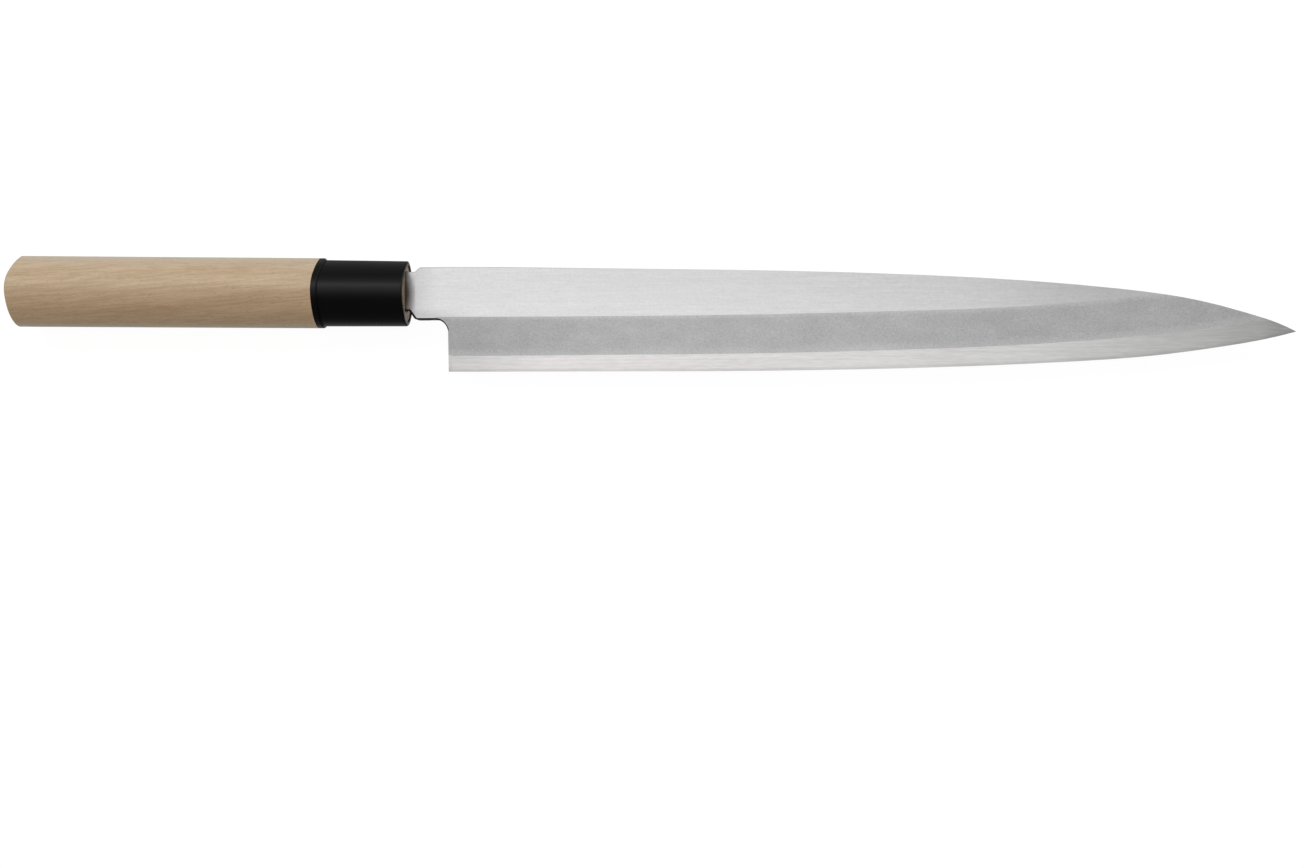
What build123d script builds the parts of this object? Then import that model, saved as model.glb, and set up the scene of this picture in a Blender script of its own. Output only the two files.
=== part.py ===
from build123d import *
from math import cos, radians, sin
import os

os.makedirs("parts", exist_ok=True)

# Frame: +X runs from the butt of the handle to the tip, +Y from the cutting edge to the spine and
# +Z out of the bevelled front face. The origin lies under the middle of the knife's box.

# Blade
blade_length = 270.0
heel_height = 33.9
heel_thickness = 3.8
distal_taper = 0.75
edge_land = 0.15
spine_chamfer = 0.3
heel_rake = 0.35
heel_facet_width = 1.3
heel_facet_depth = 0.12

# Neck, shoulders and tang
neck_length = 10.6
neck_height = 17.05
choil_radius = 4.0
upper_shoulder_drop = 1.5
upper_shoulder_run = 1.3
lower_shoulder_rise = 3.1
lower_shoulder_run = 2.2
shoulder_round = 1.5
tang_length = 92.0
tang_end_height = 6.0
tang_end_thickness = 2.2
tang_cheek_step = 0.3
tang_cheek_run = 4.5

# Hard steel layer and its hollow-ground back
steel_thickness = 1.2
steel_behind_heel = 6.0
hollow_depth = 0.35
edge_rim = 1.6
spine_rim = 2.2

# Chestnut section of the grip at the ferrule, and how the grip runs to the butt
grip_height = 23.0
grip_front_depth = 9.5
grip_back_depth = 8.8
grip_length = 101.3
butt_flare = 0.28
butt_rise = 1.65
butt_round = 0.3
axis_below_spine = 8.43

# Ferrule, tenon and the socket burned for the tang
ferrule_length = 29.5
ferrule_taper = 0.25
ferrule_wall = 1.3
ferrule_round = 0.6
lip_length = 1.9
lip_step = 0.6
lip_round = 0.45
tenon_clearance = 0.05
tenon_recess = 0.4
mouth_gap = 2.9
socket_mouth_clearance = 0.35
socket_end_clearance = 0.05
socket_depth_clearance = 2.0

# How far every cutting body runs past what it cuts, and into how many flats a rounded rim is divided
overrun = 2.0
round_steps = 6

# Outline of the spine and of the edge, as shares of the blade length and of the heel height
straight_edge_share = 0.33
tip_height_share = 0.353
spine_shares = [
    (0.2, 0.975), (0.4, 0.943), (0.54, 0.9035), (0.68, 0.839), (0.8, 0.748), (0.89, 0.634), (0.95, 0.506), (0.98, 0.426),
]
edge_shares = [(0.45, 0.0085), (0.6, 0.034), (0.73, 0.076), (0.84, 0.137), (0.92, 0.222), (0.965, 0.285)]

# Bevel at shares of the blade length: height of the edge and width of the bevel in heel heights
bevel_shares = [
    (-choil_radius / blade_length, 0.0, 0.522), (0.2, 0.0, 0.521), (0.4, 0.003, 0.531),
    (0.55, 0.024, 0.534), (0.68, 0.058, 0.534), (0.8, 0.111, 0.556), (0.89, 0.182, 0.55),
    (0.95, 0.2598, 0.54), (1 + overrun / blade_length, 0.3695, 0.53),
]

# Hollow back at shares of the blade length: height of the edge, height of the spine and depth
hollow_shares = [
    (0.02, 0.06, 0.94, 0.3), (0.08, 0.0, 0.99, 0.9), (0.2, 0.0, 0.975, 1.0), (0.4, 0.003, 0.945, 1.0),
    (0.54, 0.022, 0.906, 1.0), (0.68, 0.058, 0.843, 0.95), (0.8, 0.111, 0.753, 0.85),
    (0.89, 0.182, 0.642, 0.6), (0.95, 0.26, 0.513, 0.25),
]

# Chestnut section: points across and through the grip, in half heights and in front or back depths
oval_shares = [
    (1.0, -0.12), (0.8, 0.31), (0.62, 0.58), (0.37, 0.86), (0.1, 0.995), (-0.3, 0.93),
    (-0.75, 0.59), (-1.0, -0.02), (-0.75, -0.66), (0.0, -1.0), (0.75, -0.7),
]

# Places worked out from the sizes above
handle_length = grip_length + ferrule_length
overall_length = handle_length + mouth_gap + neck_length + blade_length
overall_height = heel_height - axis_below_spine + butt_rise + grip_height / 2 + butt_flare
butt_x = -overall_length / 2
joint_x = butt_x + grip_length
mouth_x = joint_x + ferrule_length
shoulder_x = mouth_x + mouth_gap
heel_x = shoulder_x + neck_length
tip_x = heel_x + blade_length
edge_y = -overall_height / 2
spine_y = edge_y + heel_height
tip_y = edge_y + tip_height_share * heel_height
neck_under_y = spine_y - neck_height
mouth_axis_y = spine_y - axis_below_spine
axis_z = grip_back_depth + butt_flare
back_z = axis_z - heel_thickness / 2
face_z = back_z + heel_thickness
bore_inset = lip_step + ferrule_taper + ferrule_wall


def axis_y(x):
    """Height of the handle's axis at x: it climbs from the mouth towards the butt."""
    return mouth_axis_y + butt_rise * (mouth_x - x) / handle_length


def across(x):
    """Plane across the knife at x, with local x along +Y and local y along +Z."""
    return Plane(origin=(x, 0, 0), x_dir=(0, 1, 0), z_dir=(1, 0, 0))


def oval(x, inset):
    """Chestnut section of the handle at x, drawn in from the grip's own by an inset."""
    half_height = grip_height / 2 - inset
    points = []
    for height_share, depth_share in oval_shares:
        depth = grip_front_depth if depth_share > 0 else grip_back_depth
        points.append((axis_y(x) + half_height * height_share, axis_z + (depth - inset) * depth_share))
    with BuildSketch(across(x)) as section:
        with BuildLine():
            Spline(*points, periodic=True)
        make_face()
    return section.sketch


def rounded_end(x, inset, radius, facing):
    """Sections of a quarter round that ends at x: facing is 1 towards the tip and -1 towards the butt."""
    sections = []
    for step in range(round_steps + 1):
        angle = radians(90 * step / round_steps)
        sections.append(oval(x - facing * radius * (1 - sin(angle)), inset + radius * (1 - cos(angle))))
    return sections


# Corners of the tang: its root at the shoulders and its end deep in the grip
tang_end_x = shoulder_x - tang_length
tang_root_x = shoulder_x - lower_shoulder_run
tang_top_y = spine_y - upper_shoulder_drop
tang_bottom_y = neck_under_y + lower_shoulder_rise
tang_end_top_y = axis_y(tang_end_x) + tang_end_height / 2
tang_end_bottom_y = tang_end_top_y - tang_end_height
tang_root_thickness = heel_thickness - 2 * tang_cheek_step


def socket_section(x, top_y, bottom_y, thickness, clearance):
    """Rectangle around the tang at x, a clearance wider on each side."""
    with BuildSketch(across(x)) as section:
        with Locations(((top_y + bottom_y) / 2, axis_z)):
            Rectangle(top_y - bottom_y + 2 * clearance, thickness + 2 * clearance)
    return section.sketch


# Grinding body that leaves the bevel: a ruled face from below the edge to above the front face
low_points = []
high_points = []
for length_share, edge_share, width_share in bevel_shares:
    x = heel_x + length_share * blade_length
    edge_line_y = edge_y + edge_share * heel_height
    width = width_share * heel_height
    rise = heel_thickness - length_share * distal_taper - edge_land
    spare_rise = rise * overrun / width
    low_points.append((x, edge_line_y - overrun, back_z + edge_land - spare_rise))
    high_points.append((x, edge_line_y + width + overrun, back_z + edge_land + rise + spare_rise))
with BuildPart() as bevel_grind:
    with BuildLine() as low_line:
        Spline(*low_points)
    with BuildLine() as high_line:
        Spline(*high_points)
    bevel_face = Face.make_surface_from_curves(low_line.edge(), high_line.edge())
    extrude(bevel_face, amount=heel_thickness + overrun, dir=(0, 0, 1))

# Grinding body of the narrow facet that eases the heel: a wedge that follows the heel up the bevel
heel_rise = neck_under_y - choil_radius - edge_y
bevel_slope = (heel_thickness - edge_land) / (bevel_shares[0][2] * heel_height)
heel_corner = (heel_x - heel_rake, edge_y, back_z + edge_land)
heel_line = Vector(heel_rake, heel_rise, heel_rise * bevel_slope)
with BuildPart() as heel_grind:
    with BuildSketch(Plane(origin=heel_corner, x_dir=(1, 0, 0), z_dir=heel_line).offset(-overrun)):
        with BuildLine():
            Polyline(
                (heel_facet_width, 0),
                (-overrun, heel_facet_depth * (1 + overrun / heel_facet_width)),
                (-overrun, -overrun),
                (heel_facet_width, -overrun),
                close=True,
            )
        make_face()
    extrude(amount=overrun + heel_line.length)

# Blade, neck and tang as one forging, before it is parted into its two metals
spine_points = [(heel_x + a * blade_length, edge_y + b * heel_height) for a, b in spine_shares]
edge_points = [(heel_x + a * blade_length, edge_y + b * heel_height) for a, b in edge_shares]
straight_edge_end = (heel_x + straight_edge_share * blade_length, edge_y)
with BuildPart() as blade:
    with BuildSketch(Plane.XY.offset(back_z)) as blade_outline:
        with BuildLine():
            Spline((heel_x, spine_y), *spine_points, (tip_x, tip_y), tangents=((1, 0), (1, -0.52)))
            Polyline(
                (heel_x, spine_y),
                (shoulder_x + upper_shoulder_run, spine_y),
                (shoulder_x, tang_top_y),
                (tang_end_x, tang_end_top_y),
                (tang_end_x, tang_end_bottom_y),
                (tang_root_x, tang_bottom_y),
                (shoulder_x, neck_under_y),
                (heel_x - choil_radius, neck_under_y),
            )
            RadiusArc((heel_x - choil_radius, neck_under_y), (heel_x, neck_under_y - choil_radius), choil_radius)
            Polyline((heel_x, neck_under_y - choil_radius), (heel_x - heel_rake, edge_y), straight_edge_end)
            Spline(straight_edge_end, *edge_points, (tip_x, tip_y), tangents=((1, 0), (1, 0.28)))
        make_face()
        shoulder_corners = blade_outline.vertices().filter_by_position(
            Axis.X, tang_root_x - shoulder_round, shoulder_x + upper_shoulder_run + shoulder_round
        )
        fillet(shoulder_corners, shoulder_round)
    extrude(amount=heel_thickness)
    spine_faces = blade.faces().filter_by(lambda face: face.center().X > shoulder_x and face.normal_at().Y > 0.8)
    spine_edges = spine_faces.edges().group_by(Axis.Z)[-1]
    chamfer(spine_edges, spine_chamfer)
    with BuildSketch(Plane.XZ):
        with BuildLine():
            Polyline(
                (heel_x, face_z),
                (shoulder_x, face_z),
                (shoulder_x - tang_cheek_run, face_z - tang_cheek_step),
                (tang_end_x, axis_z + tang_end_thickness / 2),
                (tang_end_x, axis_z - tang_end_thickness / 2),
                (shoulder_x - tang_cheek_run, back_z + tang_cheek_step),
                (shoulder_x, back_z),
                (tip_x, back_z),
                (tip_x, face_z - distal_taper),
                close=True,
            )
        make_face()
    extrude(amount=overall_height, both=True, mode=Mode.INTERSECT)
    add(bevel_grind.part, mode=Mode.SUBTRACT)
    add(heel_grind.part, mode=Mode.SUBTRACT)

# Space of the hard layer: the whole back of the blade, up to a line in the neck
with BuildPart() as steel_space:
    with BuildSketch(Plane.XY.offset(back_z)):
        with Locations((heel_x - steel_behind_heel, edge_y)):
            Rectangle(blade_length + steel_behind_heel, heel_height, align=(Align.MIN, Align.MIN))
    extrude(amount=steel_thickness)

# Grinding body of the hollow back: flat lens sections that keep a rim along the spine and the edge
hollow_sections = []
for length_share, edge_share, spine_share, depth_share in hollow_shares:
    low_y = edge_y + edge_share * heel_height + edge_rim
    high_y = edge_y + spine_share * heel_height - spine_rim
    with BuildSketch(across(heel_x + length_share * blade_length)) as hollow_section:
        with BuildLine():
            ThreePointArc(
                (low_y, back_z),
                ((low_y + high_y) / 2, back_z + depth_share * hollow_depth),
                (high_y, back_z),
            )
            Polyline((low_y, back_z), (low_y, back_z - overrun), (high_y, back_z - overrun), (high_y, back_z))
        make_face()
    hollow_sections.append(hollow_section.sketch)

with BuildPart() as edge_steel:
    add(blade.part)
    add(steel_space.part, mode=Mode.INTERSECT)
    loft(sections=hollow_sections, mode=Mode.SUBTRACT)
edge_steel.part.label = "edge_steel"

with BuildPart() as iron_cladding:
    add(blade.part)
    add(steel_space.part, mode=Mode.SUBTRACT)
iron_cladding.part.label = "iron_cladding"

with BuildPart() as handle:
    loft(sections=[oval(joint_x, 0), *rounded_end(butt_x, -butt_flare, butt_round, -1)], ruled=True)
    tenon_inset = bore_inset + tenon_clearance
    loft(sections=[oval(joint_x, tenon_inset), oval(mouth_x - tenon_recess, tenon_inset)])
    mouth_section = socket_section(
        tang_root_x, tang_top_y, tang_bottom_y, tang_root_thickness, socket_mouth_clearance
    )
    end_section = socket_section(
        tang_end_x - socket_depth_clearance, tang_end_top_y, tang_end_bottom_y, tang_end_thickness, socket_end_clearance
    )
    loft(sections=[end_section, mouth_section], mode=Mode.SUBTRACT)
handle.part.label = "handle"

with BuildPart() as ferrule:
    loft(sections=[oval(joint_x, 0), *rounded_end(joint_x + lip_length, 0, lip_round, 1)], ruled=True)
    front_sections = rounded_end(mouth_x, lip_step + ferrule_taper, ferrule_round, 1)
    loft(sections=[oval(joint_x, lip_step), *front_sections], ruled=True)
    loft(sections=[oval(joint_x, bore_inset), oval(mouth_x, bore_inset)], mode=Mode.SUBTRACT)
ferrule.part.label = "ferrule"

for piece in (iron_cladding, edge_steel, handle, ferrule):
    print(piece.part.label, round(piece.part.volume, 1), len(piece.solids()), piece.part.is_valid)
    export_step(piece.part, f"parts/{piece.part.label}.step")
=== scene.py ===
from math import atan, pi

import bpy
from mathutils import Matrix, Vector


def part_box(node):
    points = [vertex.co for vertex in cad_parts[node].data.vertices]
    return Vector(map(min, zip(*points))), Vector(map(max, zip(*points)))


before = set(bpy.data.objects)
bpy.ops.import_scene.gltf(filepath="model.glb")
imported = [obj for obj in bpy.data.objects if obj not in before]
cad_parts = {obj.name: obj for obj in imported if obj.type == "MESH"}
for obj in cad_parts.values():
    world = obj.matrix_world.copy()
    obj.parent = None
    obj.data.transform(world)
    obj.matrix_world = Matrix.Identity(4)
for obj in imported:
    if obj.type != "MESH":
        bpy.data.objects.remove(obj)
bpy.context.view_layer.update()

# Boxes read from the parts of model.glb, in metres: +X runs to the tip, +Y to the spine, +Z out of the
# front face
steel_low, steel_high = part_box("edge_steel")
iron_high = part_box("iron_cladding")[1]
grip_low, grip_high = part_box("handle")
ferrule_low, ferrule_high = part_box("ferrule")

# Sizes of the blade that its boxes don't give
blade_length = 0.270
blade_taper = 0.00075
neck_height = 0.01705
tang_middle_depth = 0.0087
shoulder_gap = 0.0029
choil_radius = 0.004

# Places on the knife from which the finishes are laid out
tip_x = steel_high.x
heel_x = tip_x - blade_length
mouth_x = ferrule_high.x
shoulder_x = mouth_x + shoulder_gap
joint_x = ferrule_low.x
edge_y = steel_low.y
spine_y = iron_high.y
neck_under_y = spine_y - neck_height
tang_middle_y = spine_y - tang_middle_depth
back_z = steel_low.z
clad_line_z = steel_high.z
face_z = iron_high.z
axis_z = (back_z + face_z) / 2

# Camera: the photograph looks straight down on the knife, which is turned a little, its tip nearer
sensor_width_mm = 36.0
photo_width_pixels = 1304
focal_length_pixels = 1360
knife_turn = atan(0.06)
camera_from_heel = Vector((0.09276, -0.02035, 0.43867))

# Light: the world's strength as a source of light, and the floor's colour, glow and size in metres
ambient_level = 0.35
floor_albedo = 0.8
floor_glow_share = 0.88
floor_glow_strength = 1.08
floor_half_width = 4.0

# Painted shade: the ground sides of the blade, such as the spine, are greyer than its faces, to damp the
# lamps' reflection
painted_side_shade = 0.55


def srgb(red, green, blue):
    """A colour written as 8-bit display values, turned into the linear values that shaders take."""
    linear = []
    for level in (red / 255, green / 255, blue / 255):
        linear.append(((level + 0.055) / 1.055) ** 2.4 if level > 0.04045 else level / 12.92)
    return (*linear, 1.0)


class Finish:
    """One material: its Principled shader, and short calls that add nodes to its tree."""

    def __init__(self, name, roughness, metallic=0.0, specular=0.5):
        self.material = bpy.data.materials.new(name)
        self.material.use_nodes = True
        self.nodes = self.material.node_tree.nodes
        self.links = self.material.node_tree.links
        self.shader = self.nodes["Principled BSDF"]
        self.shader.inputs["Metallic"].default_value = metallic
        self.shader.inputs["Roughness"].default_value = roughness
        self.shader.inputs["Specular IOR Level"].default_value = specular
        coordinates = self.nodes.new("ShaderNodeTexCoord")
        self.place = coordinates.outputs["Object"]
        self.x, self.y, self.z = self.split(self.place)
        self.normal_x, self.normal_y, self.normal_z = self.split(coordinates.outputs["Normal"])

    def plug(self, socket, value):
        """Links a socket's value, or sets it where the value is a number or a colour."""
        if isinstance(value, bpy.types.NodeSocket):
            self.links.new(value, socket)
        elif socket.type == "VECTOR":
            socket.default_value = value[:3]
        else:
            socket.default_value = value

    def split(self, vector):
        """The three parts of a vector."""
        node = self.nodes.new("ShaderNodeSeparateXYZ")
        self.plug(node.inputs[0], vector)
        return node.outputs

    def join(self, x, y, z):
        """A vector of three parts."""
        node = self.nodes.new("ShaderNodeCombineXYZ")
        for socket, value in zip(node.inputs, (x, y, z)):
            self.plug(socket, value)
        return node.outputs[0]

    def math(self, operation, *values):
        """The result of a Math node."""
        node = self.nodes.new("ShaderNodeMath")
        node.operation = operation
        for socket, value in zip(node.inputs, values):
            self.plug(socket, value)
        return node.outputs[0]

    def times(self, value, factor):
        """The product of two values."""
        return self.math("MULTIPLY", value, factor)

    def past(self, value, start):
        """How far a value is past a start."""
        return self.math("SUBTRACT", value, start)

    def away(self, value, middle):
        """How far a value is from a middle, to either side."""
        return self.math("ABSOLUTE", self.past(value, middle))

    def distance(self, run, climb):
        """The length of a slope from its run and its climb."""
        return self.math("SQRT", self.math("ADD", self.times(run, run), self.times(climb, climb)))

    def rise(self, value, start, end, low=0.0, high=1.0):
        """A smooth step from low, where the value is at start, to high, where it is at end."""
        node = self.nodes.new("ShaderNodeMapRange")
        node.interpolation_type = "SMOOTHSTEP"
        settings = {"Value": value, "From Min": start, "From Max": end, "To Min": low, "To Max": high}
        for name, setting in settings.items():
            self.plug(node.inputs[name], setting)
        return node.outputs[0]

    def both(self, *masks):
        """The product of several masks."""
        product = masks[0]
        for mask in masks[1:]:
            product = self.times(product, mask)
        return product

    def either(self, *masks):
        """The greatest of several masks."""
        greatest = masks[0]
        for mask in masks[1:]:
            greatest = self.math("MAXIMUM", greatest, mask)
        return greatest

    def side(self):
        """1 on the ground sides of the blade, such as the spine and the heel, and 0 on its faces."""
        return self.rise(self.math("ABSOLUTE", self.normal_z), 0.5, 0.3)

    def grain(self, size, detail=2.0, roughness=0.5, place=None):
        """Noise from 0 to 1 whose features have about this size along X, Y and Z, in metres."""
        scaled = self.nodes.new("ShaderNodeVectorMath")
        scaled.operation = "DIVIDE"
        self.plug(scaled.inputs[0], place or self.place)
        scaled.inputs[1].default_value = size
        node = self.nodes.new("ShaderNodeTexNoise")
        self.plug(node.inputs["Vector"], scaled.outputs[0])
        node.inputs["Scale"].default_value = 1.0
        node.inputs["Detail"].default_value = detail
        node.inputs["Roughness"].default_value = roughness
        return node.outputs[0]

    def mix(self, share, first, second):
        """The first colour where the share is 0, and the second where it is 1."""
        node = self.nodes.new("ShaderNodeMix")
        node.data_type = "RGBA"
        self.plug(node.inputs[0], share)
        self.plug(node.inputs[6], first)
        self.plug(node.inputs[7], second)
        return node.outputs[2]

    def blend(self, share, first, second):
        """The first number where the share is 0, and the second where it is 1."""
        node = self.nodes.new("ShaderNodeMix")
        self.plug(node.inputs[0], share)
        self.plug(node.inputs[2], first)
        self.plug(node.inputs[3], second)
        return node.outputs[0]

    def shade(self, colour, factor):
        """The colour made lighter or darker by this factor."""
        node = self.nodes.new("ShaderNodeVectorMath")
        node.operation = "SCALE"
        self.plug(node.inputs[0], colour)
        self.plug(node.inputs["Scale"], factor)
        return node.outputs[0]

    def shade_along(self, colour, *steps):
        """The colour shaded along X. A step is its start, its end, and the factors at these places."""
        for start, end, low, high in steps:
            colour = self.shade(colour, self.rise(self.x, start, end, low, high))
        return colour

    def vary(self, colour, grain, amount):
        """The colour made lighter and darker by up to this share, as the grain goes from 1 to 0."""
        return self.shade(colour, self.math("MULTIPLY_ADD", grain, 2 * amount, 1 - amount))

    def bump(self, height):
        """A normal that shows a height in metres."""
        node = self.nodes.new("ShaderNodeBump")
        node.inputs["Distance"].default_value = 1.0
        self.plug(node.inputs["Height"], height)
        return node.outputs[0]

    def use(self, **settings):
        """Plugs values into the shader: colour, roughness, metallic, specular, normal."""
        names = {
            "colour": "Base Color",
            "roughness": "Roughness",
            "metallic": "Metallic",
            "specular": "Specular IOR Level",
            "normal": "Normal",
        }
        for key, value in settings.items():
            self.plug(self.shader.inputs[names[key]], value)

    def cover(self, node):
        """Gives the finish to a CAD node."""
        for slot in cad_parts[node].material_slots:
            slot.material = self.material


def brushed_flat(finish, short_lines):
    """The colour of the flat: brushed lengthwise, darker by the shoulder, with painted shade at tip and
    neck and painted light at the ridge.
    """
    painted_light_at_ridge = 1.035
    painted_shade_at_neck = 0.84
    long_lines = finish.grain((0.04, 0.0009, 0.0009))
    speckle = finish.grain((0.0009, 0.0006, 0.0006), roughness=0.7)
    colour = finish.vary(srgb(192, 191, 192), long_lines, 0.06)
    colour = finish.vary(colour, short_lines, 0.09)
    colour = finish.vary(colour, speckle, 0.12)
    # Painted shade: the flat darkens towards the tip; it is also darker next to the shoulder
    colour = finish.shade_along(
        colour,
        (tip_x - 0.110, tip_x - 0.050, 1.0, 0.80),
        (shoulder_x, shoulder_x + 0.009, 0.88, 1.0),
    )
    # Painted shading across the flat: lighter towards the ridge than towards the spine
    low_on_flat = finish.rise(finish.y, spine_y - 0.003, neck_under_y + 0.001)
    painted_shade_at_spine = finish.rise(finish.x, heel_x, heel_x + 0.06, 1.0, 0.98)
    colour = finish.shade(colour, finish.blend(low_on_flat, painted_shade_at_spine, painted_light_at_ridge))
    # Painted shade at the neck, darker towards its lower edge
    at_neck = finish.both(
        finish.rise(finish.x, heel_x + 0.012, heel_x - 0.004),
        finish.rise(finish.y, neck_under_y + 0.0045, neck_under_y + 0.0008),
    )
    return finish.shade(colour, finish.blend(at_neck, 1.0, painted_shade_at_neck))


def blasted_bevel(finish, blasted):
    """The colour of the iron's bevel: painted highlights along the ridge and the steel, and painted shade
    at its two ends.
    """
    cloud = finish.grain((0.010, 0.005, 0.005), detail=3.0)
    colour = finish.vary(srgb(167, 167, 167), blasted, 0.30)
    colour = finish.vary(colour, cloud, 0.12)
    thinning = blade_taper / blade_length
    flat_z = finish.math("MULTIPLY_ADD", finish.x, -thinning, face_z + thinning * heel_x)
    below_ridge = finish.past(flat_z, finish.z)
    # Painted highlights: lighter just below the ridge and along the line of the steel
    colour = finish.shade(colour, finish.rise(below_ridge, 0.0, 0.00030, 1.14, 1.0))
    colour = finish.shade(colour, finish.rise(finish.z, clad_line_z, clad_line_z + 0.0006, 1.12, 1.0))
    # Painted shade at the heel and towards the tip
    return finish.shade_along(
        colour,
        (heel_x, heel_x + 0.055, 0.86, 1.0),
        (tip_x - 0.13, tip_x - 0.085, 1.0, 0.95),
        (tip_x - 0.05, tip_x - 0.02, 1.0, 0.965),
    )


def painted_underside_shade(finish):
    """1 on the near-black painted shade: under the neck, along the rim of neck and choil, and on the lower
    shoulder.
    """
    under = finish.both(
        finish.side(),
        finish.rise(finish.math("ADD", finish.normal_y, finish.normal_x), -0.7, -0.95),
        finish.rise(finish.x, heel_x + 0.0002, heel_x - 0.0002),
    )

    # The rim of painted shade follows the straight underside of the neck, and then the arc of the choil
    arc_x = heel_x - choil_radius
    arc_y = neck_under_y - choil_radius
    rim_at_neck, rim_at_heel = 0.00046, 0.00032
    past_arc = finish.math("MAXIMUM", finish.past(finish.x, arc_x), 0.0)
    from_arc = finish.distance(past_arc, finish.past(finish.y, arc_y))
    rim_width = finish.rise(past_arc, 0.3 * choil_radius, choil_radius, rim_at_neck, rim_at_heel)
    past_rim = finish.past(from_arc, rim_width)
    lower_rim = finish.both(
        finish.rise(past_rim, choil_radius + 0.00007, choil_radius - 0.00003),
        finish.rise(finish.y, arc_y, arc_y + 0.0012),
    )

    # On the lower shoulder the painted shade is a slanting strip, and this is the direction across it
    slant_x, slant_y = 0.816, 0.579
    from_shoulder = finish.math(
        "ADD",
        finish.times(finish.past(finish.x, shoulder_x), slant_x),
        finish.times(finish.past(finish.y, neck_under_y), slant_y),
    )
    shoulder_rim = finish.both(
        finish.rise(from_shoulder, 0.0009, 0.0005),
        finish.rise(finish.y, neck_under_y + 0.004, neck_under_y + 0.003),
    )
    return finish.either(under, lower_rim, shoulder_rim)


def painted_mouth_shade(finish):
    """1 on the painted shade where the tang enters the ferrule's mouth, which reaches further at the
    middle of the tang.
    """
    held_back = finish.rise(finish.away(finish.y, tang_middle_y), 0.0, 0.007, 0.0, 0.0012)
    shaded_x = finish.math("ADD", finish.x, held_back)
    return finish.rise(shaded_x, shoulder_x - 0.0003, shoulder_x - 0.0030)


def iron_finish():
    """Soft iron cladding: a brushed flat, a blasted bevel below the ridge, and painted shade at the neck
    and the ferrule's mouth.
    """
    underside_shade_colour = srgb(16, 15, 15)
    mouth_shade_colour = srgb(84, 81, 74)
    flat_roughness, bevel_roughness, dull_roughness = 0.34, 0.55, 0.7
    metal_specular, underside_shade_specular = 0.5, 0.1
    line_depth = 0.000003
    blast_depth = 0.000006
    finish = Finish("soft_iron", roughness=0.36, metallic=1.0)
    bevel = finish.both(
        finish.rise(finish.normal_y, -0.05, -0.15),
        finish.rise(finish.normal_z, 0.8, 0.95),
        finish.rise(finish.x, heel_x - 0.0055, heel_x - 0.0025),
    )
    short_lines = finish.grain((0.005, 0.0004, 0.0004))
    blasted = finish.grain((0.0006, 0.0005, 0.0005), roughness=0.7)
    # Painted shade, near black, under the neck, along the choil's rim and on the lower shoulder
    underside_shade = painted_underside_shade(finish)
    # Painted shade, dull grey, on the tang where it enters the ferrule's mouth
    mouth_shade = painted_mouth_shade(finish)
    colour = finish.mix(bevel, brushed_flat(finish, short_lines), blasted_bevel(finish, blasted))
    colour = finish.shade(colour, finish.blend(finish.side(), 1.0, painted_side_shade))
    colour = finish.mix(mouth_shade, colour, mouth_shade_colour)
    colour = finish.mix(underside_shade, colour, underside_shade_colour)
    # Where shade is painted the iron is dull, and where it is near black it is not metallic
    roughness = finish.blend(bevel, flat_roughness, bevel_roughness)
    roughness = finish.blend(finish.either(underside_shade, mouth_shade), roughness, dull_roughness)
    line_relief = finish.times(short_lines, line_depth)
    blast_relief = finish.times(blasted, blast_depth)
    finish.use(
        colour=colour,
        roughness=roughness,
        metallic=finish.math("SUBTRACT", 1.0, underside_shade),
        specular=finish.blend(underside_shade, metal_specular, underside_shade_specular),
        normal=finish.bump(finish.blend(bevel, line_relief, blast_relief)),
    )
    finish.cover("iron_cladding")


def steel_finish():
    """Hard edge steel: a stoned strip in front with painted shade at tip and heel, a satin hollow and
    polished rims behind.
    """
    strip_colour = srgb(191, 188, 188)
    tip_colour = srgb(191, 191, 190)
    hollow_colour = srgb(175, 175, 176)
    ground_roughness, hollow_roughness = 0.3, 0.42
    line_depth = 0.0000025
    wheel_depth = 0.000003
    finish = Finish("edge_steel", roughness=ground_roughness, metallic=1.0)
    stone_lines = finish.grain((0.035, 0.0005, 0.0005))
    fine_lines = finish.grain((0.004, 0.0004, 0.0004))
    wheel_lines = finish.grain((0.0004, 0.008, 0.008), detail=3.0)
    front = finish.rise(finish.normal_z, 0.5, 0.7)
    hollow = finish.both(
        finish.rise(finish.normal_z, -0.5, -0.7),
        finish.rise(finish.z, back_z + 0.00001, back_z + 0.00004),
    )
    near_tip = finish.rise(finish.x, tip_x - 0.12, tip_x - 0.09)
    strip = finish.mix(near_tip, strip_colour, tip_colour)
    strip = finish.vary(strip, stone_lines, 0.16)
    strip = finish.vary(strip, fine_lines, 0.16)
    # Painted shade on the strip towards the tip and at the heel, with a painted lighter band just past the
    # heel
    strip = finish.shade_along(
        strip,
        (tip_x - 0.13, tip_x - 0.10, 1.0, 0.95),
        (tip_x - 0.09, tip_x - 0.03, 1.0, 0.85),
        (tip_x - 0.034, tip_x - 0.012, 1.0, 0.84),
        (tip_x - 0.013, tip_x - 0.004, 1.0, 0.82),
        (heel_x, heel_x + 0.035, 0.87, 1.06),
        (heel_x + 0.055, heel_x + 0.085, 1.0, 0.95),
    )
    strip = finish.shade(strip, finish.rise(finish.z, back_z + 0.0004, back_z + 0.00018, 1.0, 0.85))
    # The rims take the painted shade of the ground sides
    rims = finish.shade(strip_colour, finish.blend(finish.side(), 1.0, painted_side_shade))
    colour = finish.mix(front, rims, strip)
    colour = finish.mix(hollow, colour, finish.vary(hollow_colour, wheel_lines, 0.10))
    line_relief = finish.times(fine_lines, line_depth)
    wheel_relief = finish.times(wheel_lines, wheel_depth)
    finish.use(
        colour=colour,
        roughness=finish.blend(hollow, ground_roughness, hollow_roughness),
        normal=finish.bump(finish.blend(hollow, line_relief, wheel_relief)),
    )
    finish.cover("edge_steel")


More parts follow.
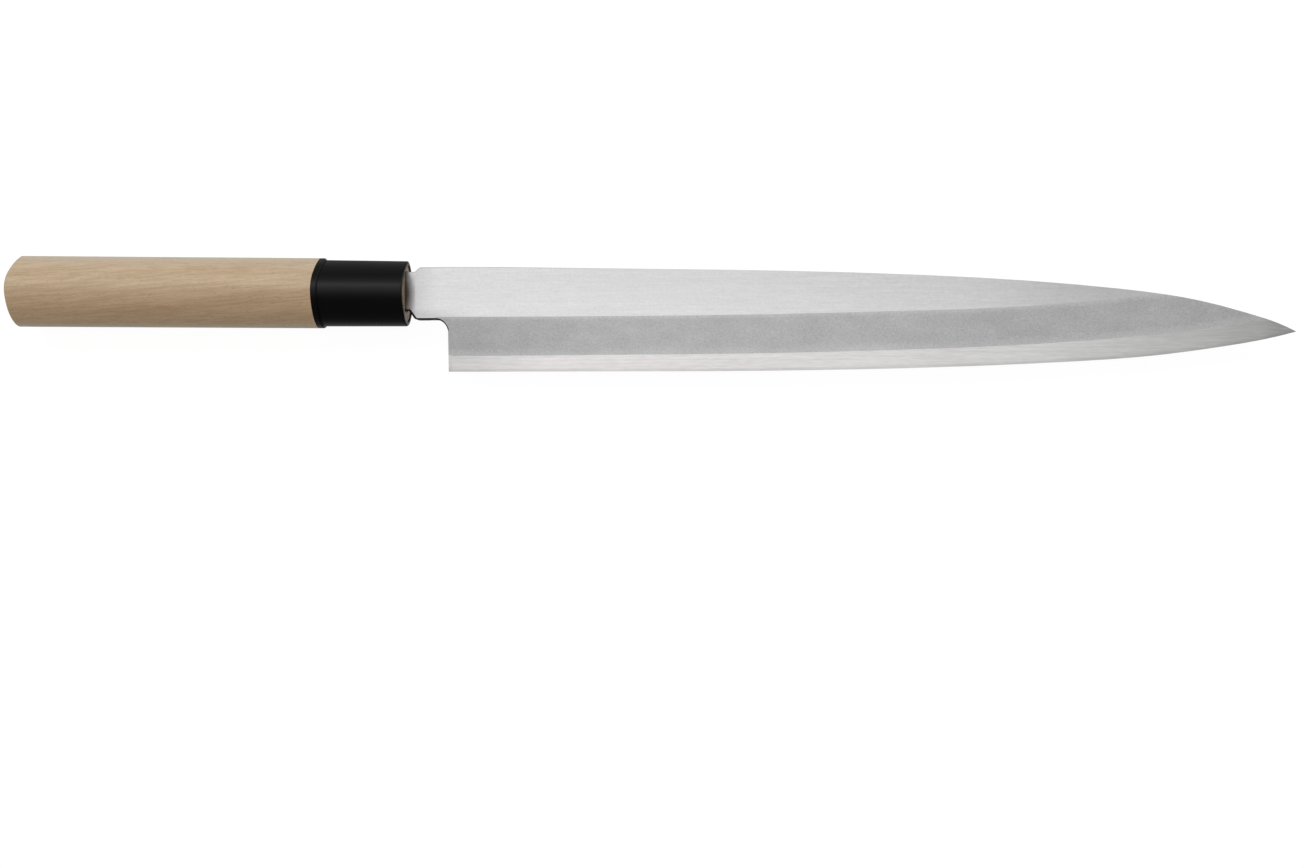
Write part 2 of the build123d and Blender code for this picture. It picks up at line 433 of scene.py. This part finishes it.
def wood_sides(finish, along, fibres):
    """The colour of the wood along its grain: streaks and bands, with pores, and painted sheen that greys
    its top and bottom.
    """
    pale_cool_above, pale_warm_below = srgb(184, 164, 136), srgb(187, 158, 123)
    dark_cool_above, dark_warm_below = srgb(163, 140, 109), srgb(166, 135, 98)
    painted_top_sheen = srgb(168, 159, 141)
    painted_bottom_sheen = srgb(167, 152, 128)
    blush_colour = srgb(182, 151, 121)
    streak_share, band_share, blush_share = 0.6, 0.4, 0.3
    streaks = finish.grain((0.018, 0.0007, 0.0007), detail=3.0, place=along)
    bands = finish.grain((0.09, 0.005, 0.005), place=along)
    pores = finish.grain((0.0014, 0.0004, 0.0004), detail=1.0, place=along)
    blush = finish.grain((0.02, 0.003, 0.003), place=along)
    dark_share = finish.math("ADD", finish.times(streaks, streak_share), finish.times(bands, band_share))
    # Painted light: the wood is cooler towards its top and warmer towards its bottom, as the light falls
    # on it
    below = finish.rise(finish.y, grip_high.y - 0.007, grip_low.y + 0.003)
    colour = finish.mix(
        finish.rise(dark_share, 0.32, 0.68),
        finish.mix(below, pale_cool_above, pale_warm_below),
        finish.mix(below, dark_cool_above, dark_warm_below),
    )
    # Painted sheen on the top and bottom edges
    colour = finish.mix(finish.rise(finish.normal_y, 0.72, 0.98), colour, painted_top_sheen)
    colour = finish.mix(finish.rise(finish.normal_y, -0.80, -0.98), colour, painted_bottom_sheen)
    colour = finish.vary(colour, fibres, 0.24)
    colour = finish.shade(colour, finish.rise(pores, 0.56, 0.72, 1.0, 0.80))
    return finish.mix(finish.times(blush, blush_share), colour, blush_colour)


def wood_end(finish, climbed_y):
    """The colour of the end grain: growth rings round a pith far below the grip, and fine pores."""
    early_colour = srgb(168, 144, 114)
    late_colour = srgb(149, 124, 96)
    pith_y = -0.045
    pith_z = -0.075
    ring_gap = 0.0022
    radius = finish.distance(finish.past(climbed_y, pith_y), finish.past(finish.z, pith_z))
    across_ring = finish.math("FRACT", finish.math("DIVIDE", radius, ring_gap))
    late_wood = finish.rise(across_ring, 0.35, 1.0)
    end_pores = finish.grain((0.00025, 0.00025, 0.00025))
    colour = finish.vary(finish.mix(late_wood, early_colour, late_colour), end_pores, 0.15)
    # Darker towards the ferrule's mouth: partly charring, partly painted shade of the mouth
    return finish.shade_along(colour, (joint_x, mouth_x, 1.0, 0.78))


def wood_finish():
    """Magnolia: pale straight grain that climbs a little towards the tip, and a socket dark round the
    tang.
    """
    dark_round_tang = srgb(34, 28, 24)
    grain_climb = 0.09
    fibre_depth = 0.000012
    finish = Finish("magnolia", roughness=0.5, specular=0.5)
    climbed_y = finish.math("MULTIPLY_ADD", finish.x, -grain_climb, finish.y)
    along = finish.join(finish.x, climbed_y, finish.z)
    fibres = finish.grain((0.005, 0.00042, 0.00042), detail=3.0, roughness=0.65, place=along)
    end_grain = finish.rise(finish.math("ABSOLUTE", finish.normal_x), 0.75, 0.95)
    colour = finish.mix(end_grain, wood_sides(finish, along, fibres), wood_end(finish, climbed_y))

    # The socket and its mouth, dark round the tang
    around_tang = finish.both(
        finish.rise(finish.away(finish.z, axis_z), 0.0025, 0.0021),
        finish.rise(finish.y, spine_y - 0.0010, spine_y - 0.0014),
        finish.rise(finish.y, spine_y - 0.0148, spine_y - 0.0143),
        finish.rise(finish.x, joint_x, joint_x + 0.001),
    )
    colour = finish.mix(around_tang, colour, dark_round_tang)
    finish.use(
        colour=colour,
        roughness=finish.rise(fibres, 0.3, 0.7, 0.45, 0.57),
        normal=finish.bump(finish.times(fibres, fibre_depth)),
    )
    finish.cover("handle")


def ferrule_finish():
    """Black moulded plastic with a satin skin, glossier in a band above its middle and at its foot."""
    black = srgb(5, 5, 6)
    body_specular, band_specular, foot_specular = 0.03, 0.20, 0.035
    skin_depth = 0.000004
    finish = Finish("ferrule_plastic", roughness=0.36, specular=0.1)
    band = finish.both(
        finish.rise(finish.normal_y, -0.35, 0.24),
        finish.rise(finish.normal_y, 0.74, 0.30),
    )
    at_foot = finish.rise(finish.normal_y, -0.75, -0.95, 0.0, foot_specular)
    skin = finish.grain((0.00025, 0.00025, 0.00025), detail=3.0)
    polish = finish.grain((0.010, 0.0012, 0.0012))
    finish.use(
        colour=finish.vary(black, polish, 0.15),
        roughness=finish.rise(polish, 0.3, 0.7, 0.34, 0.40),
        specular=finish.math("ADD", finish.blend(band, body_specular, band_specular), at_foot),
        normal=finish.bump(finish.times(skin, skin_depth)),
    )
    finish.cover("ferrule")


def seen_by_eye_or_gloss(tree):
    """1 for a ray from the camera, a glossy surface or glass, and 0 for a ray of diffuse light."""
    path = tree.nodes.new("ShaderNodeLightPath")
    share = path.outputs["Is Camera Ray"]
    for name in ("Is Glossy Ray", "Is Transmission Ray"):
        either = tree.nodes.new("ShaderNodeMath")
        either.operation = "MAXIMUM"
        tree.links.new(share, either.inputs[0])
        tree.links.new(path.outputs[name], either.inputs[1])
        share = either.outputs[0]
    return share


def mix_shaders(tree, share, first, second):
    """The first shader where the share is 0, and the second where it is 1."""
    mixed = tree.nodes.new("ShaderNodeMixShader")
    for socket, source in zip(mixed.inputs, (share, first, second)):
        tree.links.new(source, socket)
    return mixed.outputs[0]


def make_world():
    """White to the eye and in reflections, and an even pale grey as a source of light."""
    world = bpy.data.worlds.new("studio")
    bpy.context.scene.world = world
    world.use_nodes = True
    tree = world.node_tree
    tree.nodes.clear()
    ambient = tree.nodes.new("ShaderNodeBackground")
    ambient.inputs["Strength"].default_value = ambient_level
    white = tree.nodes.new("ShaderNodeBackground")
    for background in (ambient, white):
        background.inputs["Color"].default_value = (1.0, 1.0, 1.0, 1.0)
    mixed = mix_shaders(tree, seen_by_eye_or_gloss(tree), ambient.outputs[0], white.outputs[0])
    output = tree.nodes.new("ShaderNodeOutputWorld")
    tree.links.new(mixed, output.inputs[0])


def make_floor():
    """A white floor under the knife that keeps a faint shadow and can be looked through from below."""
    w = floor_half_width
    mesh = bpy.data.meshes.new("floor")
    mesh.from_pydata([(-w, -w, 0.0), (w, -w, 0.0), (w, w, 0.0), (-w, w, 0.0)], [], [(0, 1, 2, 3)])
    floor = bpy.data.objects.new("floor", mesh)
    bpy.context.scene.collection.objects.link(floor)
    material = bpy.data.materials.new("floor")
    material.use_nodes = True
    mesh.materials.append(material)
    tree = material.node_tree
    tree.nodes.clear()
    lit = tree.nodes.new("ShaderNodeBsdfDiffuse")
    lit.inputs["Color"].default_value = (floor_albedo, floor_albedo, floor_albedo, 1.0)
    glow = tree.nodes.new("ShaderNodeEmission")
    glow.inputs["Strength"].default_value = floor_glow_strength
    clear = tree.nodes.new("ShaderNodeBsdfTransparent")
    geometry = tree.nodes.new("ShaderNodeNewGeometry")
    share = tree.nodes.new("ShaderNodeMath")
    share.operation = "MULTIPLY"
    share.inputs[1].default_value = floor_glow_share
    tree.links.new(seen_by_eye_or_gloss(tree), share.inputs[0])
    above = mix_shaders(tree, share.outputs[0], lit.outputs[0], glow.outputs[0])
    either_side = mix_shaders(tree, geometry.outputs["Backfacing"], above, clear.outputs[0])
    output = tree.nodes.new("ShaderNodeOutputMaterial")
    tree.links.new(either_side, output.inputs[0])


def softbox(name, place, aim, width, height, radiance):
    """A rectangular lamp that faces a point, and whose face is this many times as bright as white."""
    data = bpy.data.lights.new(name, "AREA")
    data.shape = "RECTANGLE"
    data.size = width
    data.size_y = height
    data.energy = radiance * pi * width * height
    lamp = bpy.data.objects.new(name, data)
    lamp.location = place
    lamp.rotation_mode = "QUATERNION"
    lamp.rotation_quaternion = (Vector(aim) - Vector(place)).to_track_quat("-Z", "Y")
    bpy.context.scene.collection.objects.link(lamp)
    return lamp


def make_lamps():
    """A lamp overhead, one on the spine's side for diffuse light only, and one for reflections only."""
    softbox(
        "overhead",
        place=(-0.27, -0.05, 1.0),
        aim=(-0.2, 0.0, 0.0),
        width=1.4,
        height=0.9,
        radiance=0.4,
    )
    spine_side = softbox(
        "spine_side",
        place=(-0.2, 0.84, 0.80),
        aim=(-0.1, 0.0, 0.0),
        width=2.2,
        height=0.7,
        radiance=2.7,
    )
    spine_side.visible_glossy = False
    glint = softbox(
        "glint",
        place=(-0.2, 0.74, 0.82),
        aim=(-0.1, 0.0, 0.0),
        width=1.6,
        height=0.3,
        radiance=1.7,
    )
    glint.visible_diffuse = False


def make_camera():
    """The camera of the photograph."""
    data = bpy.data.cameras.new("camera")
    data.sensor_width = sensor_width_mm
    data.lens = sensor_width_mm * focal_length_pixels / photo_width_pixels
    data.clip_start = 0.01
    data.clip_end = 20.0
    camera = bpy.data.objects.new("camera", data)
    camera.location = Vector((heel_x, edge_y, axis_z)) + camera_from_heel
    camera.rotation_euler = (0.0, knife_turn, 0.0)
    bpy.context.scene.collection.objects.link(camera)
    bpy.context.scene.camera = camera


make_camera()
make_world()
make_floor()
make_lamps()
iron_finish()
steel_finish()
wood_finish()
ferrule_finish()
bpy.context.scene.view_settings.view_transform = "Standard"
